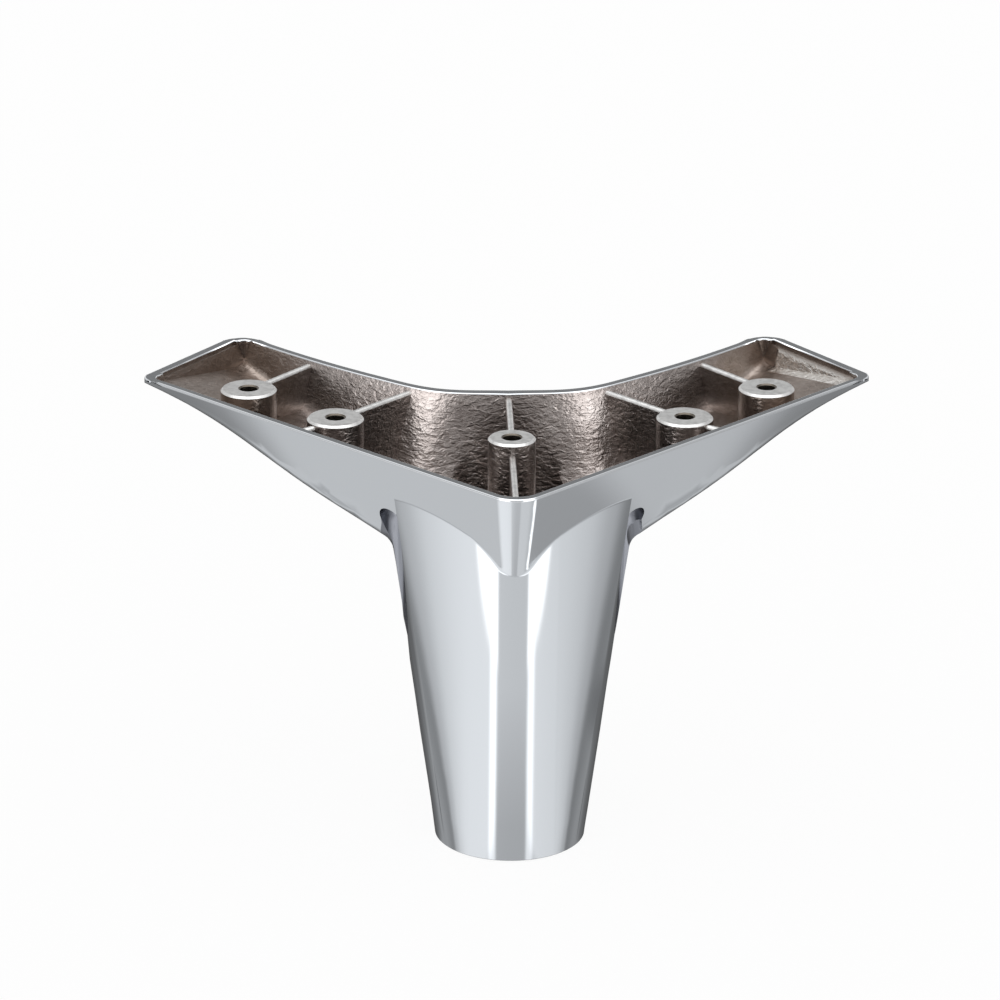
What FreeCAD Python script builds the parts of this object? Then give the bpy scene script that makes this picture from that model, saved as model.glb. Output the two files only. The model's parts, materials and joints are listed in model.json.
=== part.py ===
import FreeCAD, Part
import math
import os

# One cast sofa corner leg: a V-shaped hollow tray on a tapered column.
# Millimetres. The base stands on Z = 0 under the origin, the corner of the V points to -Y,
# and the two arms mirror each other across the plane X = 0.

V = FreeCAD.Vector

# overall
leg_height = 115.0
corner_reach = 50.0             # sharp corner of the V ahead of the base centre
front_edge_length = 145.0       # from the sharp corner to the tip of an arm
front_edge_angle = 45.0         # of each front edge from the X axis
end_edge_angle = 55.0           # of each end edge from the X axis

# rear edge of the rim, three tangent arcs a side
rear_middle_reach = 41.0
rear_middle_radius = 98.0
rear_middle_turn = 10.0
rear_bend_radius = 20.7
rear_bend_turn = 36.0
rear_arm_radius = 310.0
rear_arm_turn = 50.0
rear_end_heading = 47.85        # of the rear edge where it meets the end corner

# rounds and edges of the rim
ridge_radius_top = 9.0
ridge_radius_low = 3.4
ridge_rise = 3.0                # the top radius is measured this far above the rim
ridge_depth = 48.0              # and the low radius this far below it
ridge_inset_share = 0.6         # of the wall, by which the hollow's radius is smaller
tip_corner_radius = 5.0
rear_corner_radius = 7.0
grinding_allowance = 1.0        # cast above the rim, then ground off flat

# outside of the arms
front_draft = 24.8
front_draft_at_tip = 42.0
rear_draft_middle = 8.0
rear_draft = 24.0
rear_draft_at_tip = 9.0
end_draft = 12.0
root_distance = 56.0            # along the front edge, level with the side of the column
root_front_depth = 29.0
root_rear_depth = 26.0
tip_front_depth = 2.6
tip_rear_depth = 9.0
edge_fade_distance = 82.0       # beyond it the sharp lower edge of the front wall rounds off
edge_sharpness = 0.12
edge_sharpness_at_tip = 0.45
arm_station_step = 21.6
arm_station_count = 8

# control points of an arm's rounded outside, as shares of its straight edges
edge_hold = 0.45                # of the edge sharpness, behind the lower front edge
underside_middle = 0.5
underside_rear = 0.75
rear_wall_low = 0.35
rear_wall_high = 0.7

# inside of the arms
front_rim_width = 2.5
rear_rim_width = 2.4
rear_rim_width_middle = 3.4
end_rim_width = 2.7
end_ledge_width = 0.8
end_ledge_depth = 1.2
end_ledge_margin = 6.5          # the ledge stops short of both corners
arm_floor = 2.2
inner_corner_radius = 3.0

# column
base_radius = 20.6
nose_reach = 32.2               # front of the column, carried up to rim level
nose_turn = 36.0                # either side of the front, before the flanks begin
crease_half_width = 33.7
crease_reach = 9.4
crease_step = 1.6
crease_base_angle = 31.0
column_side_reach = 6.0         # behind the centre, where the column is widest
column_half_width = 36.6
column_rear_reach = 40.2
crease_step_turn = 95.0         # from the front's last heading to the step behind the crease
column_side_heading = 62.0      # where the side starts, behind that step
shoulder_x = 31.5               # two points on the way round to the back
shoulder_y = 27.0
haunch_x = 18.5
haunch_setback = 1.9            # ahead of the rear reach
base_edge_radius = 1.3
base_edge_setback = 0.7         # of that radius, so that the round runs out on the slope
column_wall = 2.7
column_rear_wall = 4.0
base_floor = 4.0

# shares of the wall by which points of the hollow column move in
crease_inset = 0.3
shoulder_inset_x = 0.8
shoulder_inset_y = 0.6
haunch_inset_x = 0.4

# arched notch behind the top of each crease
notch_distance = 56.0           # along the front edge
notch_radius = 4.4
notch_top = 97.4
notch_bottom = 58.0             # already clear of the tapering column
notch_wall = 2.0

# cutters: rounding ones stand off a little, so that each crosses its wall instead of only touching it
cutter_relief = 0.03
cutter_reach = 300.0            # far outside of the leg on every side
trim_rise = 5.0                 # edge and corner trims, above and below the rim
trim_depth = 60.0
trim_width = 60.0               # of the end trim, outwards
corner_trim_reach = 12.0
ridge_trim_reach = 30.0
ring_clearance = 5.0
ledge_overlap = 2.0

# tolerances when edges are picked by their place
pick_gap = 0.1
seam_gap = 0.01

# blends between the arms and the column
arch_radius = 2.5
underside_radius = 6.0

# screw bosses
boss_offset = 16.8              # centre to the front edge
middle_boss_distance = 84.3     # along the front edge
end_boss_distance = 118.5
boss_radius = 7.8
centre_boss_radius = 6.5
centre_boss_setback = 4.9
boss_drop = 0.9                 # boss tops below the rim
boss_edge_chamfer = 0.6
screw_minor_radius = 2.5
screw_mouth_radius = 2.9
end_screw_depth = 8.0
middle_screw_depth = 14.0
centre_screw_depth = 18.0
drill_point = 0.6               # depth of the drilled point, as a share of the minor radius
mouth_overlap = 0.5

# ribs
rib_thickness = 2.0
centre_rib_thickness = 1.7
rib_drop = 1.1
front_rib_drop = 1.8
centre_front_rib_drop = 4.0
end_rib_angle = 52.0            # of the rear ribs from the X axis
middle_rib_angle = 47.5
front_rib_angle = 38.0
end_stub_drop = 5.0
rib_round = 0.42                # edge radius, as a share of the thickness
rib_reach = 60.0                # through the walls, trimmed there
centre_rib_reach = 70.0


def polar(distance, angle):
    return V(distance * math.cos(math.radians(angle)), distance * math.sin(math.radians(angle)), 0)


def lerp(a, b, share):
    return a + (b - a) * share


def clamp(share):
    return min(max(share, 0.0), 1.0)


def mirrored(shape):
    return shape.mirror(V(0, 0, 0), V(1, 0, 0))


def both_sides(shape):
    return shape.fuse(mirrored(shape)).removeSplitter()


def right_half(shape):
    corner = V(0, -cutter_reach, -cutter_reach / 2)
    return shape.common(Part.makeBox(cutter_reach, cutter_reach * 2, cutter_reach, corner))


def front_point(distance):
    return V(0, -corner_reach, leg_height) + polar(distance, front_edge_angle)


def rear_edge():
    arcs = []
    turn = -rear_middle_turn
    start = V(0, rear_middle_reach + rear_middle_radius, leg_height) + polar(rear_middle_radius, turn - 90)
    bends = (
        (rear_middle_radius, rear_middle_turn),
        (rear_bend_radius, rear_bend_turn),
        (rear_arm_radius, rear_arm_turn),
    )
    for radius, end_turn in bends:
        centre = start + polar(radius, 90 + turn)
        middle = centre + polar(radius, (turn + end_turn) / 2 - 90)
        end = centre + polar(radius, end_turn - 90)
        arcs.append(Part.Arc(start, middle, end).toShape())
        start, turn = end, end_turn
    return Part.Wire(arcs)


def rear_point(start, angle):
    ray = Part.makeLine(start, start + polar(cutter_reach, angle))
    nearest_pairs = rear_edge().distToShape(ray)[1]
    return nearest_pairs[0][0]


def section_angle(distance):
    return 90 + (90 - end_edge_angle) * distance / front_edge_length


def share_to_tip(distance, start):
    return clamp((distance - start) / (front_edge_length - start))


def arm_shape(distance):
    """Front depth, rear depth, front slope and rear slope of the outside at one distance."""
    share = share_to_tip(distance, root_distance)
    late = share_to_tip(distance, edge_fade_distance)
    ease = late * late * (3 - 2 * late)
    rise = (front_edge_length - distance) / (front_edge_length - root_distance)
    front_depth = lerp(tip_front_depth, root_front_depth, rise)
    rear_depth = lerp(tip_rear_depth, root_rear_depth, rise)
    skew = math.cos(math.radians(section_angle(distance) - front_edge_angle - 90))
    front_slope = math.tan(math.radians(lerp(front_draft, front_draft_at_tip, ease))) / skew
    root_draft = lerp(rear_draft_middle, rear_draft, clamp(distance / root_distance))
    rear_slope = math.tan(math.radians(lerp(root_draft, rear_draft_at_tip, share)))
    return front_depth, rear_depth, front_slope, rear_slope


def outer_corners(distance, width):
    """Rim, foot, heel and far rim of a section: across the arm, then up from the rim."""
    front_depth, rear_depth, front_slope, rear_slope = arm_shape(distance)
    foot = (front_depth * front_slope, -front_depth)
    heel = (width - rear_depth * rear_slope, -rear_depth)
    above = grinding_allowance
    return (-above * front_slope, above), foot, heel, (width + above * rear_slope, above)


def inner_corners(distance, width):
    """The same four corners for the hollow, which is carried above the rim to cut it open."""
    front_depth, rear_depth, front_slope, rear_slope = arm_shape(distance)
    foot, heel = outer_corners(distance, width)[1:3]
    skew = math.cos(math.radians(section_angle(distance) - front_edge_angle - 90))
    front = front_rim_width / skew
    rear = width - lerp(rear_rim_width_middle, rear_rim_width, share_to_tip(distance, 0))
    fall = (heel[1] - foot[1]) / (heel[0] - foot[0])
    lift = arm_floor * math.sqrt(1 + fall * fall)
    level = foot[1] + lift - fall * foot[0]
    foot_height = (level + fall * front) / (1 + fall * front_slope)
    heel_height = (level + fall * rear) / (1 - fall * rear_slope)
    above = grinding_allowance * 2
    return (
        (front - above * front_slope, above),
        (front - foot_height * front_slope, foot_height),
        (rear + heel_height * rear_slope, heel_height),
        (rear + above * rear_slope, above),
    )


def arm_section(distance, corners):
    start = front_point(distance)
    across = rear_point(start, section_angle(distance)) - start
    width = across.Length
    across.normalize()
    placed = [start + across * w + V(0, 0, z) for w, z in corners(distance, width)]
    rim, foot, heel, far_rim = placed
    sharp = lerp(edge_sharpness, edge_sharpness_at_tip, share_to_tip(distance, edge_fade_distance))
    wall_end = lerp(rim, foot, 1 - sharp)
    poles = [
        wall_end,
        foot,
        lerp(foot, heel, edge_hold * sharp),
        lerp(foot, heel, underside_middle),
        lerp(foot, heel, underside_rear),
        heel,
        lerp(heel, far_rim, rear_wall_low),
        lerp(heel, far_rim, rear_wall_high),
        far_rim,
    ]
    spans = len(poles) - 3
    curve = Part.BSplineCurve()
    curve.buildFromPolesMultsKnots(poles, [4] + [1] * (spans - 1) + [4], list(range(spans + 1)), False, 3)
    return Part.Wire([Part.makeLine(rim, wall_end), curve.toShape(), Part.makeLine(far_rim, rim)])


def arm_loft(corners):
    """Loft through evenly spaced sections, from across the middle plane to past the tip."""
    stations = [arm_station_step * k for k in range(-1, arm_station_count)]
    sections = [arm_section(distance, corners) for distance in stations]
    return Part.makeLoft(sections, True, False)


def end_corners():
    front = front_point(front_edge_length)
    return front, rear_point(front, 180 - end_edge_angle)


def end_trim(setback):
    """What is cut off past the end edge, leaning inwards below the rim."""
    front, rear = end_corners()
    outward = polar(1, 90 - end_edge_angle)
    half_over = (rear - front) * 0.5
    edge = front - half_over - outward * setback
    lean = outward * math.tan(math.radians(end_draft)) + V(0, 0, 1)
    low = edge - lean * trim_depth
    high = edge + lean * trim_rise
    far = outward * trim_width
    face = Part.Face(Part.makePolygon([low, high, high + far, low + far, low]))
    return face.extrude((rear - front) + half_over * 2)


def corner_trim(corner, first, second, radius):
    """What is cut off outside a vertical round at a corner between two directions."""
    half = first.getAngle(second) / 2
    setback = radius / math.tan(half)
    bisector = (first + second).normalize()
    corner = corner - bisector * cutter_relief
    middle = corner + bisector * (radius / math.sin(half) - radius)
    out = corner - bisector * corner_trim_reach
    start = corner + first * setback
    finish = corner + second * setback
    wire = Part.Wire([
        Part.Arc(start, middle, finish).toShape(),
        Part.makeLine(finish, out + second * setback),
        Part.makeLine(out + second * setback, out),
        Part.makeLine(out, out + first * setback),
        Part.makeLine(out + first * setback, start),
    ])
    wire.translate(V(0, 0, trim_rise))
    return Part.Face(wire).extrude(V(0, 0, -trim_depth))


def inset_corner(corner, along_end, along_side, setback, inset):
    slant = math.sin(along_end.getAngle(along_side))
    return corner + along_side * (setback / slant) + along_end * (inset / slant)


def trimmed_arm(corners, setback, front_inset, rear_inset, tip_radius, rear_radius):
    """Arm loft cut to the end edge, with both of its corners rounded in plan."""
    front, rear = end_corners()
    along_front = polar(-1, front_edge_angle)
    along_rear = polar(-1, rear_end_heading)
    along_end = (rear - front).normalize()
    tip = inset_corner(front, along_end, along_front, setback, front_inset)
    heel = inset_corner(rear, along_end * -1, along_rear, setback, rear_inset)
    arm = arm_loft(corners).cut(end_trim(setback))
    arm = arm.cut(corner_trim(tip, along_front, along_end, tip_radius))
    return arm.cut(corner_trim(heel, along_end * -1, along_rear, rear_radius))


def ridge_trim(inset):
    """What is cut off ahead of the rounded corner of the V, which tightens downwards."""
    wires = []
    for depth, radius in ((-ridge_rise, ridge_radius_top), (ridge_depth, ridge_radius_low)):
        back = depth * math.tan(math.radians(front_draft)) + inset - cutter_relief
        corner = V(0, -corner_reach + back * math.sqrt(2), leg_height - depth)
        radius = radius - inset * ridge_inset_share
        right = corner + polar(radius, front_edge_angle)
        left = corner + polar(radius, 180 - front_edge_angle)
        nose = corner + V(0, radius * (math.sqrt(2) - 1), 0)
        ahead = V(0, -ridge_trim_reach, 0)
        wires.append(Part.Wire([
            Part.Arc(right, nose, left).toShape(),
            Part.makeLine(left, left + ahead),
            Part.makeLine(left + ahead, right + ahead),
            Part.makeLine(right + ahead, right),
        ]))
    return Part.makeLoft(wires, True, True)


def outer_tray():
    arm = trimmed_arm(outer_corners, 0, 0, 0, tip_corner_radius, rear_corner_radius)
    return both_sides(right_half(arm)).cut(ridge_trim(0))


def end_ledge():
    """Shallow step along the end edge, opening into the hollow of the arm."""
    front, rear = end_corners()
    along = (rear - front).normalize()
    inward = polar(-1, 90 - end_edge_angle)
    start = front + along * end_ledge_margin - V(0, 0, end_ledge_depth)
    finish = rear - along * end_ledge_margin - V(0, 0, end_ledge_depth)
    near = inward * end_rim_width
    deep = inward * (end_rim_width + end_ledge_width * 3)
    outline = Part.makePolygon([start + near, finish + near, finish + deep, start + deep, start + near])
    return Part.Face(outline).extrude(V(0, 0, end_ledge_depth + ledge_overlap))


def tray_hollow():
    arm = trimmed_arm(
        inner_corners,
        end_rim_width + end_ledge_width,
        front_rim_width,
        rear_rim_width,
        inner_corner_radius,
        inner_corner_radius,
    )
    return both_sides(right_half(arm.fuse(end_ledge()))).cut(ridge_trim(front_rim_width))


def column_form(inset, rear_inset, bottom, top):
    """The column, from a circle at the base to a nose, flanks, creases and a broad back."""
    def half():
        radius = base_radius - inset
        nose = V(0, -nose_reach + inset, leg_height)
        centre = nose + V(0, radius, 0)
        flank = centre + polar(radius, nose_turn - 90)
        crease = V(crease_half_width - inset, -crease_reach + inset * crease_inset, leg_height)
        chord = crease - flank
        swing = math.degrees(math.atan2(chord.y, chord.x)) - nose_turn
        bulge = polar(chord.Length / 2 * math.tan(math.radians(swing / 2)), nose_turn + swing - 90)
        behind = crease + polar(crease_step, nose_turn + crease_step_turn)
        rear = V(0, column_rear_reach - rear_inset, leg_height)
        side = Part.BSplineCurve()
        side.interpolate(
            Points=[
                behind,
                V(column_half_width - inset, column_side_reach, leg_height),
                V(shoulder_x - inset * shoulder_inset_x, shoulder_y - inset * shoulder_inset_y, leg_height),
                V(haunch_x - inset * haunch_inset_x, rear.y - haunch_setback, leg_height),
                rear,
            ],
            InitialTangent=polar(1, column_side_heading),
            FinalTangent=V(-1, 0, 0),
        )
        upper = Part.Wire([
            Part.Arc(nose, centre + polar(radius, nose_turn / 2 - 90), flank).toShape(),
            Part.Arc(flank, lerp(flank, crease, 0.5) + bulge, crease).toShape(),
            Part.makeLine(crease, behind),
            side.toShape(),
            Part.makeLine(rear, nose),
        ])
        stops = [-90, nose_turn - 90, -crease_base_angle, 2 - crease_base_angle, 90]
        edges = [
            Part.Arc(polar(radius, a), polar(radius, (a + b) / 2), polar(radius, b)).toShape()
            for a, b in zip(stops, stops[1:])
        ]
        lower = Part.Wire(edges + [Part.makeLine(polar(radius, 90), polar(radius, -90))])
        return Part.makeLoft([lower, upper], True, True)
    column = both_sides(half())
    if bottom > 0:
        corner = V(-cutter_reach / 2, -cutter_reach / 2, bottom)
        column = column.common(Part.makeBox(cutter_reach, cutter_reach, top - bottom, corner))
    return column


def crease_notch(radius):
    """An upright round-topped slot, centred on the face of the front wall."""
    depth = leg_height - notch_top + notch_radius
    inset = depth * math.tan(math.radians(front_draft))
    high = front_point(notch_distance) + polar(inset, front_edge_angle + 90) - V(0, 0, depth)
    low = V(high.x, high.y, notch_bottom)
    slot = Part.makeCylinder(radius, high.z - low.z, low)
    return slot.fuse(Part.makeSphere(radius, high))


def boss_centre(distance):
    centre = front_point(distance) + polar(boss_offset, front_edge_angle + 90)
    return V(centre.x, centre.y, 0)


def boss(centre, radius):
    solid = Part.makeCylinder(radius, leg_height - boss_drop, centre)
    top = leg_height - boss_drop
    rim = [e for e in solid.Edges if e.CenterOfMass.z > top - pick_gap and len(e.Vertexes) == 1]
    return solid.makeChamfer(boss_edge_chamfer, rim)


def rib(start, end, thickness, drop):
    """An upright plate between two points of the plan, rounded along its top."""
    along = end - start
    top = leg_height - drop
    plate = Part.makeBox(along.Length, thickness, top, V(0, -thickness / 2, 0))
    tops = []
    for edge in plate.Edges:
        place = edge.CenterOfMass
        lengthwise = abs(place.x - along.Length / 2) < pick_gap and abs(place.y) > thickness / 4
        if lengthwise and abs(place.z - top) < pick_gap:
            tops.append(edge)
    plate = plate.makeFillet(thickness * rib_round, tops)
    plate.rotate(V(0, 0, 0), V(0, 0, 1), math.degrees(math.atan2(along.y, along.x)))
    plate.translate(start)
    return plate


def arm_fittings():
    middle = boss_centre(middle_boss_distance)
    end = boss_centre(end_boss_distance)
    return [
        boss(middle, boss_radius),
        boss(end, boss_radius),
        rib(middle, middle + polar(rib_reach, 180 - middle_rib_angle), rib_thickness, rib_drop),
        rib(end, end + polar(rib_reach, 180 - end_rib_angle), rib_thickness, rib_drop),
        rib(middle, middle + polar(rib_reach, -front_rib_angle), rib_thickness, front_rib_drop),
        rib(end, end + polar(rib_reach, front_edge_angle - 90), rib_thickness, end_stub_drop),
    ]


def centre_fittings():
    centre = V(0, centre_boss_setback, 0)
    return [
        boss(centre, centre_boss_radius),
        rib(centre, V(0, centre_rib_reach, 0), centre_rib_thickness, rib_drop),
        rib(V(0, -centre_rib_reach, 0), centre, centre_rib_thickness, centre_front_rib_drop),
    ]


def screw_hole(centre, depth):
    top = leg_height - boss_drop
    bottom = centre + V(0, 0, top - depth)
    point = screw_minor_radius * drill_point
    flare = screw_mouth_radius - screw_minor_radius
    bore = Part.makeCylinder(screw_minor_radius, depth, bottom)
    tip = Part.makeCone(0.0, screw_minor_radius, point, bottom - V(0, 0, point))
    mouth = Part.makeCone(
        screw_minor_radius,
        screw_mouth_radius + mouth_overlap,
        flare + mouth_overlap,
        centre + V(0, 0, top - flare),
    )
    return bore.fuse([tip, mouth])


def seam_edges(joined, first, second):
    """Edges that appeared where two solids met."""
    old = Part.Compound(first.Edges + second.Edges)
    seams = []
    for edge in joined.Edges:
        middle = edge.valueAt((edge.FirstParameter + edge.LastParameter) / 2)
        if old.distToShape(Part.Vertex(middle))[0] > seam_gap and middle.z < leg_height - seam_gap:
            seams.append(edge)
    return seams


def base_round():
    """Ring that takes the sharp edge off the foot of the column."""
    middle = V(base_radius - base_edge_radius * base_edge_setback, 0, base_edge_radius)
    low = middle + V(0, 0, -base_edge_radius)
    high = middle + V(base_edge_radius, 0, 0)
    between = middle + V(math.cos(math.pi / 4), 0, -math.cos(math.pi / 4)) * base_edge_radius
    out = V(base_radius + ring_clearance, 0, 0)
    wire = Part.Wire([
        Part.Arc(low, between, high).toShape(),
        Part.makeLine(high, out + V(0, 0, high.z)),
        Part.makeLine(out + V(0, 0, high.z), out),
        Part.makeLine(out, low),
    ])
    return Part.Face(wire).revolve(V(0, 0, 0), V(0, 0, 1), 360)


def ground_off():
    """Everything above the flat of the rim."""
    corner = V(-cutter_reach, -cutter_reach, leg_height)
    return Part.makeBox(cutter_reach * 2, cutter_reach * 2, cutter_reach, corner)


def outer_body():
    tray = outer_tray()
    column = column_form(0, 0, 0, leg_height)
    body = tray.fuse(column)
    arch = [e for e in seam_edges(body, tray, column) if e.CenterOfMass.y < -crease_reach]
    body = body.makeFillet(arch_radius, arch)
    under = [e for e in seam_edges(body, tray, column) if e.CenterOfMass.y > column_side_reach]
    body = body.makeFillet(underside_radius, under)
    notch = crease_notch(notch_radius)
    return body.cut([notch, mirrored(notch), base_round(), ground_off()])


def inner_core():
    """The shape of the hollow: tray and column, less the bosses and ribs that stand in it."""
    hollow = tray_hollow()
    well = column_form(column_wall, column_rear_wall, base_floor, leg_height)
    core = hollow.fuse(well)
    notch = crease_notch(notch_radius + notch_wall)
    fittings = arm_fittings()
    kept = fittings + [mirrored(fitting) for fitting in fittings] + centre_fittings()
    return core.cut([notch, mirrored(notch)] + kept)


def screw_holes():
    middle = boss_centre(middle_boss_distance)
    end = boss_centre(end_boss_distance)
    holes = [screw_hole(middle, middle_screw_depth), screw_hole(end, end_screw_depth)]
    centre = screw_hole(V(0, centre_boss_setback, 0), centre_screw_depth)
    return holes + [mirrored(hole) for hole in holes] + [centre]


os.makedirs("parts", exist_ok=True)
leg = outer_body().cut(inner_core())
leg = leg.cut(screw_holes())
leg.exportStep("parts/leg.step")
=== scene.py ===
import json
import math

import bpy
import numpy as np
from mathutils import Matrix, Vector
from mathutils.bvhtree import BVHTree
from mathutils.kdtree import KDTree


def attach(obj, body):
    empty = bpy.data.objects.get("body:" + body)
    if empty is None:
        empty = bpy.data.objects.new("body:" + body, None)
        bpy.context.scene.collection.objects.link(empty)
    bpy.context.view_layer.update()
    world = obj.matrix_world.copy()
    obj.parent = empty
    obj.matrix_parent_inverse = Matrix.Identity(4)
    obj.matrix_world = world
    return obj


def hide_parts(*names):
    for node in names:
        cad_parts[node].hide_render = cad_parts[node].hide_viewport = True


# A cast sofa corner leg: bright plated skin outside, raw grey-brown casting inside.
# The scene is in metres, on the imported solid's own frame; the sizes below are in millimetres.

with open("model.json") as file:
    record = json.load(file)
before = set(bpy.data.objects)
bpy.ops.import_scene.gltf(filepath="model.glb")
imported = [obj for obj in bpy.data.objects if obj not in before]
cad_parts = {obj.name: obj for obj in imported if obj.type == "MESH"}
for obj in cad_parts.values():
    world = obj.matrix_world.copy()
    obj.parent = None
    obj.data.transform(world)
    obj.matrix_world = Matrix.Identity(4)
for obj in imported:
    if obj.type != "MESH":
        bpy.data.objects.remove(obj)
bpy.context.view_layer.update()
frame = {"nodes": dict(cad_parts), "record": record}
mm = 0.001

print("stage: frame loaded")


def linear(hexColour):
    channels = [int(hexColour[i:i + 2], 16) / 255 for i in (1, 3, 5)]
    return tuple(c / 12.92 if c < 0.04045 else ((c + 0.055) / 1.055) ** 2.4 for c in channels) + (1.0,)


def addObject(name, data):
    thing = bpy.data.objects.new(name, data)
    bpy.context.scene.collection.objects.link(thing)
    return thing


def findSocket(node, name):
    # "i3" is the socket at place 3; other names are the socket's own, with _ for a space
    if name[0] == "i" and name[1:].isdigit():
        return node.inputs[int(name[1:])]
    return node.inputs[name.replace("_", " ")]


def addNode(tree, kind, settings=None, **inputs):
    # a node with its settings, its socket values, and links where a value is a socket
    node = tree.nodes.new(kind)
    for name, value in (settings or {}).items():
        setattr(node, name, value)
    for name, value in inputs.items():
        socket = findSocket(node, name)
        if isinstance(value, bpy.types.NodeSocket):
            tree.links.new(value, socket)
        else:
            socket.default_value = value
    return node


def mathNode(tree, operation, *values):
    inputs = {"i" + str(k): value for k, value in enumerate(values)}
    return addNode(tree, "ShaderNodeMath", {"operation": operation}, **inputs).outputs[0]


def vectorNode(tree, operation, *values):
    inputs = {"i" + str(k): value for k, value in enumerate(values)}
    return addNode(tree, "ShaderNodeVectorMath", {"operation": operation}, **inputs)


def stepNode(tree, value, low, high, start=0.0, end=1.0):
    # a soft step from start to end while the value goes from low to high
    return addNode(tree, "ShaderNodeMapRange", {"interpolation_type": "SMOOTHSTEP"}, Value=value,
                   From_Min=low, From_Max=high, To_Min=start, To_Max=end).outputs[0]


def mixLevel(tree, factor, first, second):
    return addNode(tree, "ShaderNodeMix", {"data_type": "FLOAT"}, i0=factor, i2=first, i3=second).outputs[0]


def mixColour(tree, factor, first, second):
    return addNode(tree, "ShaderNodeMix", {"data_type": "RGBA"}, i0=factor, i6=first, i7=second).outputs[2]


def mixShader(tree, factor, first, second):
    return addNode(tree, "ShaderNodeMixShader", i0=factor, i1=first, i2=second).outputs[0]


def rampNode(tree, factor, stops):
    # each stop is a place with a colour or with a grey level
    ramp = addNode(tree, "ShaderNodeValToRGB", Fac=factor)
    elements = ramp.color_ramp.elements
    while len(elements) < len(stops):
        elements.new(0.5)
    for element, (place, value) in zip(elements, stops):
        element.position = place
        element.color = linear(value) if isinstance(value, str) else (value, value, value, 1)
    return ramp.outputs[0]


def objectPlace(tree):
    return addNode(tree, "ShaderNodeTexCoord").outputs["Object"]


def newMaterial(name):
    material = bpy.data.materials.new(name)
    material.use_nodes = True
    material.node_tree.nodes.clear()
    return material, material.node_tree


# camera: the photograph's viewing angle, a long lens from a little above
cameraSet = {
    "rise": 20.464,             # degrees above the horizon
    "side": -1.565,             # degrees round from straight ahead
    "roll": 0.379,
    "distance": 1350.8,
    "aim": (-3.245, 0.0, 97.815),
    "lens": 180.0,
    "sensor": 36.0,
    "clip": (0.01, 50.0),       # metres
}


def makeCamera():
    side, rise = math.radians(cameraSet["side"]), math.radians(cameraSet["rise"])
    back = Vector((math.sin(side) * math.cos(rise), -math.cos(side) * math.cos(rise), math.sin(rise)))
    right = (-back).cross(Vector((0, 0, 1))).normalized()
    right = Matrix.Rotation(math.radians(cameraSet["roll"]), 3, back) @ right
    up = back.cross(right)
    camera = addObject("camera", bpy.data.cameras.new("camera"))
    camera.data.lens = cameraSet["lens"]
    camera.data.sensor_width = cameraSet["sensor"]
    camera.data.clip_start, camera.data.clip_end = cameraSet["clip"]
    place = (Vector(cameraSet["aim"]) + back * cameraSet["distance"]) * mm
    camera.matrix_world = Matrix.Translation(place) @ Matrix((right, up, back)).transposed().to_4x4()
    bpy.context.scene.camera = camera
    print("stage: camera placed")


# casting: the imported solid's skin, with true normals, a rounded rim and its faces sorted by finish
castingSet = {
    "rimHeight": 115.0,
    "rimOuterRound": 0.5,               # polished edges of the flat rim
    "rimInnerRound": 0.4,
    "roundSteps": 4,
    "notchTop": (33.0, -4.4, 93.8),     # groove beside the column: centre of its round top
    "notchFoot": (35.6, 5.0, 80.4),     # and of its open end below
    "notchRadius": 3.1,
    "notchTurns": 40,
    "notchShadeHeights": (76.4, 97.5),        # heights between which its faces get the groove finish: rougher, and darker as painted shade
    "slot": (32.41, -3.21, 4.4),        # the solid's own upright notch: axis and radius
    "slotFoot": 57.0,
    "sameNormal": 20.0,                 # degrees between two patches that flow into each other
    "neighbours": (8, 18),              # fewest and most points that a curved surface is laid through
    "rowLimit": 0.01,                   # points with less spread than this lie in a row
    "fitDamping": 1e-5,
    "seam": (0.002, 0.25),              # on the middle plane: distance, and largest sideways lean
    "levelFace": 0.999,                 # upward share of a level face's normal
    "steepFace": 0.5,
    "slack": 0.05,                      # when a face is told by its place
    "touch": 0.01,
    "standOff": 0.1,                    # where rays start in front of a face
    "boreWall": 3.2,                    # nearer to a screw's axis than this is the wall of its hole
    "bossReach": 8.0,
    "bossDrop": 0.9,                    # boss tops below the rim
    "bossEdge": (0.6, 0.7),             # their chamfer: upward share of its normal, and depth
    "ribDrop": (0.5, 6.0),              # rib tops lie between these depths below the rim
    "ledge": (113.8, 0.03),             # height of the step along the end edges, and its slack
}


def readSkin(source):
    # points in millimetres, triangles, and the patch (one surface of the solid) that each point is on
    mesh = source.data
    points = np.zeros(len(mesh.vertices) * 3, np.float32)
    mesh.vertices.foreach_get("co", points)
    points = points.reshape(-1, 3).astype(float) / mm
    corners = np.zeros(len(mesh.loops), np.int32)
    mesh.loops.foreach_get("vertex_index", corners)
    triangles = corners.reshape(-1, 3)
    root = list(range(len(points)))

    def find(i):
        while root[i] != i:
            root[i] = root[root[i]]
            i = root[i]
        return i

    for a, b, c in triangles.tolist():
        root[find(a)] = root[find(b)] = find(c)
    patches = np.unique([find(i) for i in range(len(points))], return_inverse=True)[1]
    return points, triangles, patches


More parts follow.
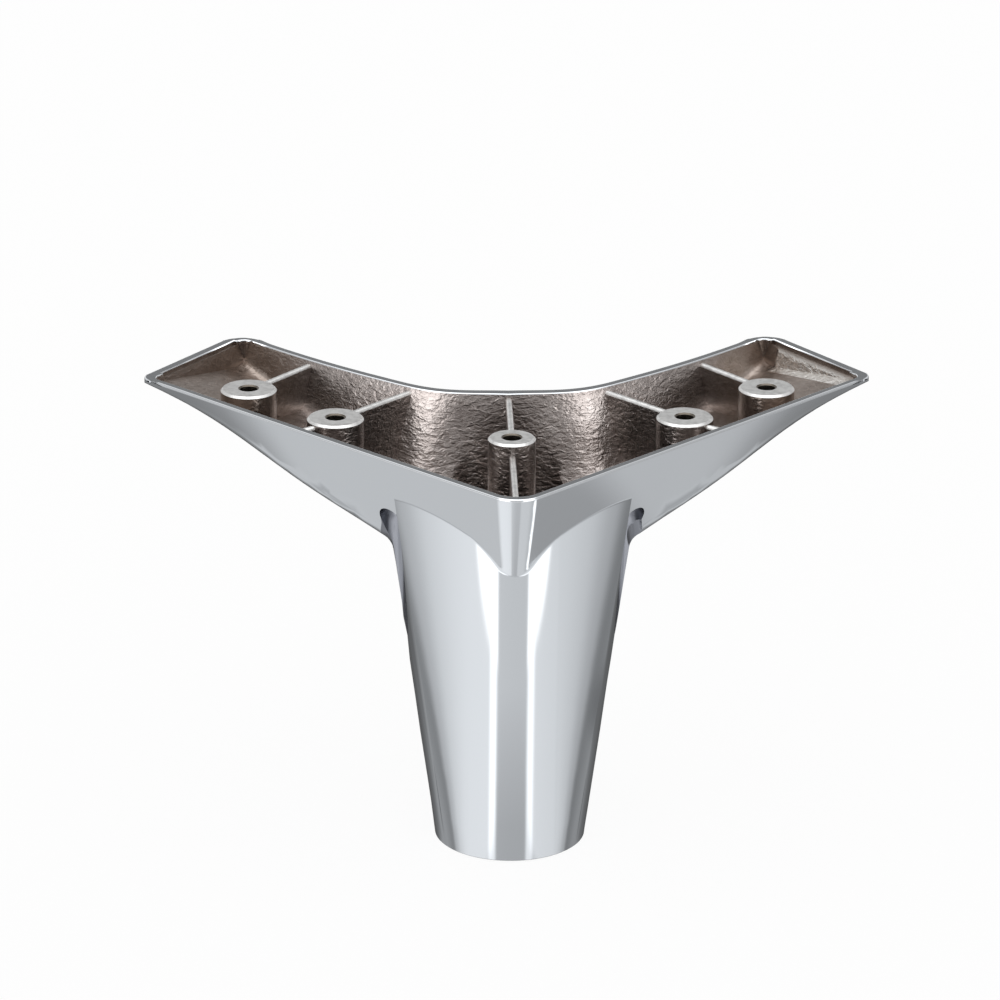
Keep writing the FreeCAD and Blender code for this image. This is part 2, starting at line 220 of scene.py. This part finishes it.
def notchCutter(side):
    # a round-ended groove along the front wall, beside the column, open at the wall's lower edge
    start, end = (Vector(castingSet[name]) for name in ("notchTop", "notchFoot"))
    start.x, end.x = start.x * side, end.x * side
    axis = (end - start).normalized()
    across = axis.cross(Vector((1, 0, 0))).normalized()
    along = axis.cross(across)
    radius = castingSet["notchRadius"]
    turns = castingSet["notchTurns"]
    quarter = turns // 4
    stations = []
    for k in range(1, quarter + 1):
        turn = k / quarter * math.pi / 2
        stations.append((start, -math.cos(turn), math.sin(turn)))
    for k in range(1, quarter + 1):
        stations.append((start.lerp(end, k / quarter), 0.0, 1.0))
    points = [tuple(start - axis * radius)]
    for centre, back, wide in stations:
        for k in range(turns):
            turn = 2 * math.pi * k / turns
            out = (across * math.cos(turn) + along * math.sin(turn)) * wide
            points.append(tuple(centre + (axis * back + out) * radius))
    points.append(tuple(end))
    last = len(points) - 1
    faces = []
    for k in range(turns):
        after = (k + 1) % turns
        faces.append((0, 1 + after, 1 + k))
        faces.append((last, last - turns + k, last - turns + after))
        for ring in range(len(stations) - 1):
            base = 1 + ring * turns
            faces.append((base + k, base + after, base + turns + after, base + turns + k))
    return points, faces if side > 0 else [face[::-1] for face in faces]


def carveNotches(points, triangles, patches):
    # the solid's skin as one closed mesh, with each face's patch kept as its material slot
    shared, which = np.unique(np.round(points, 4), axis=0, return_inverse=True)
    faces = which.reshape(-1)[triangles]
    keep = (faces[:, 0] != faces[:, 1]) & (faces[:, 1] != faces[:, 2]) & (faces[:, 2] != faces[:, 0])
    mesh = bpy.data.meshes.new("carved")
    mesh.from_pydata(shared.tolist(), [], faces[keep].tolist())
    patchCount = int(patches.max()) + 1
    slotCount = patchCount + 2
    slots = [bpy.data.materials.new("slot" + str(k)) for k in range(slotCount)]
    for slot in slots:
        mesh.materials.append(slot)
    mesh.polygons.foreach_set("material_index", patches[triangles[keep][:, 0]].tolist())
    body = addObject("carved", mesh)
    helpers = [body]
    for k, side in enumerate((-1, 1)):
        tool = bpy.data.meshes.new("notchCutter")
        corners, faces = notchCutter(side)
        tool.from_pydata(corners, [], faces)
        for slot in slots:
            tool.materials.append(slot)
        tool.polygons.foreach_set("material_index", [patchCount + k] * len(tool.polygons))
        helpers.append(addObject("notchCutter", tool))
        cut = body.modifiers.new("notch", "BOOLEAN")
        cut.operation = "DIFFERENCE"
        cut.solver = "EXACT"
        cut.object = helpers[-1]
    result = bpy.data.meshes.new_from_object(body.evaluated_get(bpy.context.evaluated_depsgraph_get()))
    result.calc_loop_triangles()
    placed = np.array([v.co for v in result.vertices], float)
    corners = np.array([t.vertices[:] for t in result.loop_triangles])
    owner = np.array([result.polygons[t.polygon_index].material_index for t in result.loop_triangles])
    for mesh in [result] + [helper.data for helper in helpers]:
        bpy.data.meshes.remove(mesh)
    for slot in slots:
        bpy.data.materials.remove(slot)
    # every patch gets its own points again
    keys = corners.astype(np.int64) * slotCount + owner[:, None]
    unique, back = np.unique(keys.reshape(-1), return_inverse=True)
    print("stage: notches carved,", len(corners), "triangles")
    return placed[unique // slotCount], back.reshape(-1, 3), (unique % slotCount).astype(int)


def faceVectors(points, triangles):
    a, b, c = (points[triangles[:, k]] for k in range(3))
    return np.cross(b - a, c - a)


def unit(vectors):
    return vectors / np.maximum(np.linalg.norm(vectors, axis=-1, keepdims=True), 1e-12)


def patchNormals(points, triangles, patches):
    # the normal of a curved surface laid through each point's neighbours on its own patch
    rough = np.zeros_like(points)
    spans = faceVectors(points, triangles)
    for k in range(3):
        np.add.at(rough, triangles[:, k], spans)
    rough = unit(rough)
    normals = rough.copy()
    fewest, most = castingSet["neighbours"]
    sameNormal = math.cos(math.radians(castingSet["sameNormal"]))
    for patch in range(patches.max() + 1):
        members = np.flatnonzero(patches == patch)
        near = min(most, len(members))
        if near < fewest:
            continue
        tree = KDTree(len(members))
        for i, member in enumerate(members):
            tree.insert(points[member], i)
        tree.balance()
        found = np.array([[hit[1] for hit in tree.find_n(points[member], near)] for member in members])
        offsets = points[members[found]] - points[members][:, None, :]
        n = rough[members]
        across = unit(np.cross(n, np.where(np.abs(n[:, 2:]) < 0.9, [[0.0, 0.0, 1.0]], [[1.0, 0.0, 0.0]])))
        along = np.cross(n, across)
        x, y, z = (np.einsum("ijk,ik->ij", offsets, axis) for axis in (across, along, n))
        reach = np.sqrt((x * x + y * y).max(1))[:, None] + 1e-9
        x, y, z = x / reach, y / reach, z / reach
        terms = np.stack([x, y, x * x, x * y, y * y], -1)
        square = np.einsum("ijk,ijl->ikl", terms, terms) + np.eye(5) * castingSet["fitDamping"]
        slopes = np.linalg.solve(square, np.einsum("ijk,ij->ik", terms, z)[..., None])[..., 0]
        fitted = unit(n - across * slopes[:, :1] - along * slopes[:, 1:2])
        # neighbours in a row say nothing of the slope across it: those points keep the facets' mean
        xx, xy, yy = (x * x).mean(1), (x * y).mean(1), (y * y).mean(1)
        spread = xx * yy - xy * xy > castingSet["rowLimit"] * (xx + yy) ** 2
        good = spread & (np.einsum("ij,ij->i", fitted, n) > sameNormal)
        normals[members[good]] = fitted[good]
    return normals


def joinNormals(points, triangles, patches, normals):
    # where patches flow into each other they share the largest patch's normal; other edges stay crisp
    size = np.zeros(patches.max() + 1)
    np.add.at(size, patches[triangles[:, 0]], np.linalg.norm(faceVectors(points, triangles), axis=1))
    places = np.unique(np.round(points, 3), axis=0, return_inverse=True)[1].reshape(-1)
    order = np.argsort(places, kind="stable")
    groups = np.split(order, np.flatnonzero(np.diff(places[order])) + 1)
    joined = normals.copy()
    sameNormal = math.cos(math.radians(castingSet["sameNormal"]))
    for group in groups:
        if len(group) < 2:
            continue
        ranked = sorted(group, key=lambda i: -size[patches[i]])
        for i in group:
            for other in ranked:
                if normals[i] @ normals[other] > sameNormal:
                    joined[i] = normals[other]
                    break
    distance, lean = castingSet["seam"]
    middle = (np.abs(points[:, 0]) < distance) & (np.abs(joined[:, 0]) < lean)
    joined[middle, 0] = 0.0
    return unit(joined), places


def rimLoops(triangles):
    # the closed outlines of a flat patch, as rings of points
    edges = {}
    for a, b, c in triangles.tolist():
        for i, j in ((a, b), (b, c), (c, a)):
            if edges.pop((j, i), None) is None:
                edges[(i, j)] = True
    after = {i: j for i, j in edges}
    loops = []
    while after:
        start, j = after.popitem()
        loop = [start]
        while j != start:
            loop.append(j)
            j = after.pop(j)
        loops.append(loop)
    return loops


def roundRim(points, triangles, patches, normals, places):
    # rolls both edges of the flat rim over a small radius, from the flat to the walls
    top = castingSet["rimHeight"] - castingSet["touch"]
    level = unit(faceVectors(points, triangles))[:, 2] > castingSet["levelFace"]
    flat = level & (points[triangles[:, 0], 2] > top)
    rimPatch = patches[triangles[flat][0, 0]]
    loops = rimLoops(triangles[patches[triangles[:, 0]] == rimPatch])
    outer = max(loops, key=lambda loop: np.abs(points[loop][:, :2]).max())
    wallAt = {}
    for i in np.flatnonzero((patches != rimPatch) & (points[:, 2] > top)):
        wallAt.setdefault(places[i], []).append(i)
    up = np.array([0.0, 0.0, 1.0])
    steps = castingSet["roundSteps"]
    newPoints, newNormals, newTriangles = [], [], []
    moved = points.copy()
    for loop in loops:
        radius = castingSet["rimOuterRound" if loop is outer else "rimInnerRound"]
        rings = []
        for i in loop:
            walls = wallAt.get(places[i], [])
            if not walls:
                rings.append(None)
                continue
            wall = unit(normals[walls].mean(0))
            centre = points[i] - (up + wall) * radius / (1 + wall[2])
            moved[i] = centre + up * radius
            for k in walls:
                moved[k] = centre + wall * radius
            turn = math.acos(max(-1.0, min(1.0, wall[2])))
            ring = []
            for s in range(steps + 1):
                share = s / steps
                n = (up * math.sin((1 - share) * turn) + wall * math.sin(share * turn)) / math.sin(turn)
                ring.append(len(points) + len(newPoints))
                newPoints.append(centre + n * radius)
                newNormals.append(n)
            rings.append(ring)
        for first, second in zip(rings, rings[1:] + rings[:1]):
            if first is None or second is None:
                continue
            for s in range(steps):
                newTriangles.append((second[s], first[s], first[s + 1]))
                newTriangles.append((second[s], first[s + 1], second[s + 1]))
    points = np.vstack([moved, newPoints])
    normals = np.vstack([normals, newNormals])
    triangles = np.vstack([triangles, newTriangles])
    return points, triangles, normals, len(newTriangles)


def isRibTop(low, high):
    # from the lowest and highest point of a patch
    top = castingSet["rimHeight"]
    least, most = castingSet["ribDrop"]
    ledge, slack = castingSet["ledge"]
    return low > top - most and high < top - least and abs(low - ledge) > slack


def inNotch(point):
    # close to the axis of either groove: the solid's upright one, and the one carved along the wall
    place = Vector((abs(point[0]), point[1], point[2]))
    foot, peak = castingSet["notchShadeHeights"]
    if place.z > peak or place.z < castingSet["slotFoot"]:
        return False
    x, y, radius = castingSet["slot"]
    if math.hypot(place.x - x, place.y - y) < radius + castingSet["slack"]:
        return True
    start, end = Vector(castingSet["notchTop"]), Vector(castingSet["notchFoot"])
    reach = (place - start).cross((end - start).normalized()).length
    return place.z >= foot and reach < castingSet["notchRadius"] + castingSet["slack"]


def sortFaces(points, triangles, patches, edgeFaces):
    # 0 plated outside, 1 raw inside, 2 ground rim, 3 milled boss and rib tops, 4 screw hole, 5 notch
    tree = BVHTree.FromPolygons([Vector(p) for p in points], triangles.tolist())
    normals = unit(faceVectors(points, triangles))
    centres = points[triangles].mean(1)
    screws = [Vector(m["pos_m"]) / mm for m in frame["record"]["mounts"] if m["kind"] == "threaded_hole"]
    up = Vector((0, 0, 1))
    lows = np.full(patches.max() + 1, np.inf)
    highs = np.full(patches.max() + 1, -np.inf)
    np.minimum.at(lows, patches, points[:len(patches), 2])
    np.maximum.at(highs, patches, points[:len(patches), 2])
    rolled = len(triangles) - edgeFaces
    bossDrop = castingSet["bossDrop"]
    edgeRise, edgeDepth = castingSet["bossEdge"]
    kinds = []
    for k, (centre, normal) in enumerate(zip(centres, normals)):
        near = min(math.hypot(centre[0] - s.x, centre[1] - s.y) for s in screws)
        drop = castingSet["rimHeight"] - centre[2]
        if k >= rolled or (normal[2] > castingSet["levelFace"] and drop < castingSet["slack"]):
            kinds.append(2)
        elif near < castingSet["boreWall"] and drop > bossDrop + castingSet["touch"]:
            kinds.append(4)
        elif normal[2] > edgeRise and near < castingSet["bossReach"] and drop < bossDrop + edgeDepth:
            kinds.append(3)
        elif isRibTop(lows[patches[triangles[k, 0]]], highs[patches[triangles[k, 0]]]):
            kinds.append(3)
        elif all(inNotch(points[i]) for i in triangles[k]):
            kinds.append(5)
        else:
            # an outer face lies under the rim's overhang, or looks out level at nothing
            start = Vector(centre + normal * castingSet["standOff"])
            level = Vector((normal[0], normal[1], 0))
            outer = abs(normal[2]) < castingSet["steepFace"] and not tree.ray_cast(start, level)[0]
            kinds.append(0 if outer or tree.ray_cast(start, up)[0] else 1)
    return kinds


def makeCasting(materials):
    points, triangles, patches = readSkin(frame["nodes"]["leg"])
    points, triangles, patches = carveNotches(points, triangles, patches)
    normals = patchNormals(points, triangles, patches)
    normals, places = joinNormals(points, triangles, patches, normals)
    points, triangles, normals, edgeFaces = roundRim(points, triangles, patches, normals, places)
    kinds = sortFaces(points, triangles, patches, edgeFaces)
    shared, which = np.unique(np.round(points, 3), axis=0, return_inverse=True)
    which = which.reshape(-1)
    mesh = bpy.data.meshes.new("legCasting")
    faces = [tuple(which[t]) for t in triangles]
    keep = [k for k, face in enumerate(faces) if len(set(face)) == 3]
    mesh.from_pydata((shared * mm).tolist(), [], [faces[k] for k in keep])
    mesh.polygons.foreach_set("material_index", [kinds[k] for k in keep])
    mesh.polygons.foreach_set("use_smooth", [True] * len(keep))
    for material in materials:
        mesh.materials.append(material)
    mesh.normals_split_custom_set([tuple(normals[i]) for k in keep for i in triangles[k]])
    mesh.validate()
    print("stage: casting", len(mesh.vertices), "points", len(mesh.polygons), "faces")
    return addObject("legCasting", mesh)


# finishes of the casting's faces
finishSet = {
    "plate": ("#C5C8CB", 0.09),     # colour and roughness
    "rim": ("#CBCDCF", 0.12),
    # screw hole colour: dark, painted shade inside the bore
    "hole": ("#5E5850", 0.35),
    # groove colour: darker grey, painted shade in the recess
    "notch": ("#7B7D83", 0.3),
    "raw": [(0.35, "#766E6A"), (0.6, "#99918D"), (0.75, "#ACA5A1"), (0.9, "#BFB9B5")],
    "rawRoughness": (0.33, 0.28),
    "rawMix": (0.45, 0.65),         # how much wrinkles and stains say in its colour
    "wrinkle": (2.1, 2.1, 1.1),     # the flow wrinkles lie level
    "wrinkleDepth": 1.9,
    "wrinkleFade": (34.0, 58.0),    # from the middle outwards they sink to half
    "stipple": 0.55,
    "stippleDepth": (0.4, 0.1),     # round the middle, and in the outer pockets
    "stain": 14.0,
    "relief": 0.15,
    "pocket": (54.0, 64.0),         # the outer pockets begin here
    "pocketBrown": (0.5, "#7A6A5C"),
    "milled": [(0.3, "#B6B5B3"), (0.6, "#CECDCB")],
    "milledRoughness": 0.42,
    "grain": 1.6,
    "rimLines": (0.35, 6.0, 6.0),   # hair-fine marks of the grinding belt and of the cutter
    "millLines": (0.35, 3.0, 3.0),
    "lineRelief": 0.02,
    "gateColour": "#CFCBC6",
    "gateRelief": (2.0, 1.5),       # its wrinkles, and its lift
    "gateCorner": (102.53, 52.53),  # right tip, and the outward direction of the end edge
    "gateOut": (0.819, 0.574),
    "gateBand": (3.7, 4.1, 7.4, 7.8),
    "gateSpan": (4.0, 5.0, 37.0, 38.0),
}


def gateScar(tree):
    # strip left where the gate was broken off, along the end wall of the right arm
    x, y = (value * mm for value in finishSet["gateCorner"])
    offset = vectorNode(tree, "SUBTRACT", objectPlace(tree), (x, y, 0)).outputs[0]
    outX, outY = finishSet["gateOut"]
    scar = 1.0
    for axis, limits in (((-outX, -outY, 0), "gateBand"), ((-outY, outX, 0), "gateSpan")):
        reach = vectorNode(tree, "DOT_PRODUCT", offset, axis).outputs["Value"]
        a, b, c, d = (value * mm for value in finishSet[limits])
        scar = mathNode(tree, "MULTIPLY", scar, stepNode(tree, reach, a, b))
        scar = mathNode(tree, "MULTIPLY", scar, stepNode(tree, reach, d, c))
    return scar


def noiseNode(tree, sizes, detail, distortion=0.0):
    # noise whose pattern has the given sizes in millimetres along each axis
    scale = tuple(1 / (size * mm) for size in sizes)
    place = vectorNode(tree, "MULTIPLY", objectPlace(tree), scale).outputs[0]
    return addNode(tree, "ShaderNodeTexNoise", Vector=place, Scale=1.0, Detail=detail,
                   Distortion=distortion).outputs["Fac"]


def bumpNode(tree, height, strength, relief):
    bump = addNode(tree, "ShaderNodeBump", Strength=strength, Distance=relief * mm, Height=height)
    return bump.outputs[0]


def finishMetal(material, tree, colour, roughness, normal=None):
    out = addNode(tree, "ShaderNodeOutputMaterial")
    shader = addNode(tree, "ShaderNodeBsdfPrincipled", Base_Color=colour, Metallic=1.0, Roughness=roughness)
    if normal is not None:
        tree.links.new(normal, shader.inputs["Normal"])
    tree.links.new(shader.outputs[0], out.inputs[0])
    return material


def plainFinish(name, entry):
    colour, roughness = finishSet[entry]
    material, tree = newMaterial(name)
    return finishMetal(material, tree, linear(colour), roughness)


def rawFinish():
    # raw die casting inside: brownish grey, wrinkled where the metal chilled against the core, and
    # smoother and browner in the outer pockets
    material, tree = newMaterial("rawZincCasting")
    wrinkle = noiseNode(tree, finishSet["wrinkle"], detail=2.0, distortion=0.6)
    stipple = noiseNode(tree, [finishSet["stipple"]] * 3, detail=1.0)
    stain = noiseNode(tree, [finishSet["stain"]] * 3, detail=3.0)
    scar = gateScar(tree)
    split = addNode(tree, "ShaderNodeSeparateXYZ", i0=objectPlace(tree))
    side = mathNode(tree, "ABSOLUTE", split.outputs["X"])
    fade = stepNode(tree, side, *(value * mm for value in finishSet["wrinkleFade"]), 1.0, 0.5)
    pocket = stepNode(tree, side, *(value * mm for value in finishSet["pocket"]))

    fine = mathNode(tree, "MULTIPLY", stipple, stepNode(tree, pocket, 0.0, 1.0, *finishSet["stippleDepth"]))
    coarse = mathNode(tree, "MULTIPLY", fade, finishSet["wrinkleDepth"])
    height = mathNode(tree, "MULTIPLY_ADD", wrinkle, coarse, fine)
    wrinkling, lift = finishSet["gateRelief"]
    raised = mathNode(tree, "MULTIPLY_ADD", wrinkle, wrinkling, lift)
    height = mathNode(tree, "MULTIPLY_ADD", scar, raised, height)

    wrinkled, stained = finishSet["rawMix"]
    tone = mathNode(tree, "MULTIPLY_ADD", wrinkle, wrinkled, mathNode(tree, "MULTIPLY", stain, stained))
    colour = rampNode(tree, tone, finishSet["raw"])
    share, brown = finishSet["pocketBrown"]
    colour = mixColour(tree, mathNode(tree, "MULTIPLY", pocket, share), colour, linear(brown))
    colour = mixColour(tree, scar, colour, linear(finishSet["gateColour"]))
    roughness = stepNode(tree, stipple, 0.3, 0.7, *finishSet["rawRoughness"])
    return finishMetal(material, tree, colour, roughness, bumpNode(tree, height, 1.0, finishSet["relief"]))


def groundFinish():
    # flat of the rim, ground and then plated over: bright, with hair-fine lines
    material, tree = newMaterial("groundRimMetal")
    lines = noiseNode(tree, finishSet["rimLines"], detail=2.0)
    colour, roughness = finishSet["rim"]
    bump = bumpNode(tree, lines, 0.4, finishSet["lineRelief"])
    return finishMetal(material, tree, linear(colour), roughness, bump)


def milledFinish():
    # tops of the bosses and ribs, faced by a cutter: pale and satin, slightly ragged
    material, tree = newMaterial("milledZinc")
    lines = noiseNode(tree, finishSet["millLines"], detail=2.0)
    grain = noiseNode(tree, [finishSet["grain"]] * 3, detail=3.0)
    bump = bumpNode(tree, mathNode(tree, "ADD", lines, grain), 0.6, finishSet["lineRelief"])
    colour = rampNode(tree, grain, finishSet["milled"])
    return finishMetal(material, tree, colour, finishSet["milledRoughness"], bump)


def makeFinishes():
    return [
        plainFinish("brightChromePlate", "plate"),      # polished and plated: mirror-like, cool grey
        rawFinish(),
        groundFinish(),
        milledFinish(),
        plainFinish("tappedZincShadedBore", "hole"),              # screw holes: dark colour, painted shade inside the bore
        plainFinish("roughGroovePaintedShade", "notch"),       # plated and left rougher, with a darker lilac grey as painted shade in the groove
    ]


# studio: white all round; what the polished metal mirrors is laid out by direction
studioSet = {
    "floorSize": 6000.0,
    "floorColour": "#F2F2F2",
    "floorWhite": 0.9,
    "mirrorTint": (0.985, 0.995, 1.01, 1),
    # level seen in a mirrored ray below the horizon, by its turn from the camera side (0) to the back (1)
    "low": [
        (0.0, 0.92), (0.125, 0.93), (0.15, 2.0), (0.185, 2.0), (0.21, 1.25), (0.41, 1.2), (0.444, 1.12),
        (0.486, 0.97), (0.517, 0.72), (0.56, 0.62), (0.63, 0.84), (0.69, 0.8), (0.73, 0.58), (0.78, 0.4),
        (0.87, 0.25), (1.0, 0.22),
    ],
    # the same above the horizon: two softboxes over the front corners
    "high": [
        (0.0, 0.7), (0.14, 0.8), (0.2, 4.0), (0.32, 4.0), (0.4, 0.8), (0.6, 0.7), (0.8, 1.0), (1.0, 1.1),
    ],
    "horizon": (-0.06, 0.06),           # rise of a ray over which low goes over into high
    "overhead": 2.6,
    "overheadRise": (0.7, 0.85),
    "under": 1.0,                       # straight down
    "underRise": (-0.8, -0.93),
    "grazing": 0.55,                    # share left low behind the column's sides
    "grazingTurn": (0.52, 0.56),
    "grazingRise": (-0.62, -0.52),
    # round pools: direction, inner and outer angle, level
    "backdrop": ((0.03, 0.94, 0.35), 9.0, 16.0, 0.28),      # a dark card that only the rim shows
    "pools": [((-0.34, 0.06, -0.94), 2.0, 24.0, 1.3), ((0.56, 0.24, -0.79), 1.5, 7.5, 2.1)],
    "sideTilt": 0.08,                   # the left is a little brighter than the right
    # footShade and wallShade: painted shade on the floor, seen only in the metal's reflections
    "footShade": [(0.0, 0.7), (0.35, 0.72), (0.6, 0.82), (1.0, 1.0)],   # outwards, to shadeReach
    "shadeReach": 105.0,
    "shadeHeading": (14.0, 23.0),       # straight ahead only: it ends between these angles
    "wallShade": (94.0, 30.0, 14.0, 36.0, 0.66),        # x, y, inner, outer, share left
    # brightLine and brightLevel: a painted glow on the floor, seen only in the metal's reflections
    "brightLine": (-104.0, -116.0),     # the floor is bright beyond it, on both sides of a plain strip
    "brightLevel": 2.0,
    "stripAngle": 25.0,                 # of each edge of the strip, seen from its apex
    "stripApex": -26.0,
    "stripSoftness": 0.04,              # radians either side of the edge
}


def poolLevel(tree, direction, level, pool):
    middle, inner, outer, strength = pool
    aim = tuple(Vector(middle).normalized())
    facing = vectorNode(tree, "DOT_PRODUCT", direction, aim).outputs["Value"]
    mask = stepNode(tree, facing, math.cos(math.radians(outer)), math.cos(math.radians(inner)))
    return mixLevel(tree, mask, level, strength)


def makeWorld():
    world = bpy.data.worlds.new("studio")
    bpy.context.scene.world = world
    world.use_nodes = True
    tree = world.node_tree
    tree.nodes.clear()
    direction = addNode(tree, "ShaderNodeTexCoord").outputs["Generated"]
    split = addNode(tree, "ShaderNodeSeparateXYZ", i0=direction)
    rise = split.outputs["Z"]
    turn = mathNode(tree, "ABSOLUTE", mathNode(tree, "ARCTAN2", split.outputs["X"], split.outputs["Y"]))
    share = mathNode(tree, "DIVIDE", mathNode(tree, "SUBTRACT", math.pi, turn), math.pi)

    low = rampNode(tree, share, studioSet["low"])
    turned = stepNode(tree, share, *studioSet["grazingTurn"])
    grazing = mathNode(tree, "MULTIPLY", turned, stepNode(tree, rise, *studioSet["grazingRise"]))
    low = mathNode(tree, "MULTIPLY", low, stepNode(tree, grazing, 0.0, 1.0, 1.0, studioSet["grazing"]))
    low = mixLevel(tree, stepNode(tree, rise, *studioSet["underRise"]), low, studioSet["under"])
    for pool in studioSet["pools"]:
        low = poolLevel(tree, direction, low, pool)

    high = rampNode(tree, share, studioSet["high"])
    high = mixLevel(tree, stepNode(tree, rise, *studioSet["overheadRise"]), high, studioSet["overhead"])
    high = poolLevel(tree, direction, high, studioSet["backdrop"])

    level = mixLevel(tree, stepNode(tree, rise, *studioSet["horizon"]), low, high)
    tilt = mathNode(tree, "MULTIPLY_ADD", split.outputs["X"], -studioSet["sideTilt"], 1.0)
    level = mathNode(tree, "MULTIPLY", level, tilt)
    plain = addNode(tree, "ShaderNodeBackground", Color=(1, 1, 1, 1), Strength=1.0)
    mirrored = addNode(tree, "ShaderNodeBackground", Color=studioSet["mirrorTint"], Strength=level)
    glossy = addNode(tree, "ShaderNodeLightPath").outputs["Is Glossy Ray"]
    both = mixShader(tree, glossy, plain.outputs[0], mirrored.outputs[0])
    out = addNode(tree, "ShaderNodeOutputWorld")
    tree.links.new(both, out.inputs[0])
    print("stage: studio laid out")


def mirroredFloor(tree):
    # what the metal mirrors of the floor, painted for mirrored rays only: a glowing bright field in front,
    # on both sides of a plain strip, and elsewhere the studio, darkened by painted shade round the foot and
    # under the right wall
    spot = objectPlace(tree)
    place = addNode(tree, "ShaderNodeSeparateXYZ", i0=spot)
    x, y = place.outputs["X"], place.outputs["Y"]
    ahead = stepNode(tree, y, *(value * mm for value in studioSet["brightLine"]))
    back = mathNode(tree, "SUBTRACT", studioSet["stripApex"] * mm, y)
    angle = mathNode(tree, "ABSOLUTE", mathNode(tree, "ARCTAN2", x, back))
    edge, softness = math.radians(studioSet["stripAngle"]), studioSet["stripSoftness"]
    beside = stepNode(tree, angle, edge - softness, edge + softness)
    glow = addNode(tree, "ShaderNodeEmission", Color=(1, 1, 1, 1), Strength=studioSet["brightLevel"])

    length = vectorNode(tree, "LENGTH", spot).outputs["Value"]
    far = mathNode(tree, "DIVIDE", length, studioSet["shadeReach"] * mm)
    heading = mathNode(tree, "ABSOLUTE", mathNode(tree, "ARCTAN2", x, mathNode(tree, "MULTIPLY", y, -1.0)))
    aside = stepNode(tree, heading, *(math.radians(value) for value in studioSet["shadeHeading"]))
    foot = mixLevel(tree, aside, rampNode(tree, far, studioSet["footShade"]), 1.0)
    wallX, wallY, inner, outer, left = studioSet["wallShade"]
    off = vectorNode(tree, "DISTANCE", spot, (wallX * mm, wallY * mm, 0)).outputs["Value"]
    shade = mathNode(tree, "MULTIPLY", foot, stepNode(tree, off, inner * mm, outer * mm, left, 1.0))
    clear = addNode(tree, "ShaderNodeBsdfTransparent", Color=shade)
    return mixShader(tree, mathNode(tree, "MULTIPLY", ahead, beside), clear.outputs[0], glow.outputs[0])


def makeFloor():
    half = studioSet["floorSize"] * mm / 2
    mesh = bpy.data.meshes.new("studioFloor")
    corners = [(-half, -half, 0), (half, -half, 0), (half, half, 0), (-half, half, 0)]
    mesh.from_pydata(corners, [], [(0, 1, 2, 3)])
    floor = addObject("studioFloor", mesh)
    material, tree = newMaterial("paleFloor")
    # pale paper that takes a soft shadow and is white to the camera
    path = addNode(tree, "ShaderNodeLightPath")
    lit = addNode(tree, "ShaderNodeBsdfDiffuse", Color=linear(studioSet["floorColour"])).outputs[0]
    white = addNode(tree, "ShaderNodeEmission", Color=(1, 1, 1, 1), Strength=1.0).outputs[0]
    seen = mixShader(tree, studioSet["floorWhite"], lit, white)
    ray = mixShader(tree, path.outputs["Is Camera Ray"], lit, seen)
    both = mixShader(tree, path.outputs["Is Glossy Ray"], ray, mirroredFloor(tree))
    out = addNode(tree, "ShaderNodeOutputMaterial")
    tree.links.new(both, out.inputs[0])
    mesh.materials.append(material)
    print("stage: floor laid")


makeCamera()
makeWorld()
makeFloor()
casting = makeCasting(makeFinishes())
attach(casting, "root")
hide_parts("leg")

bpy.context.scene.view_settings.view_transform = "Standard"
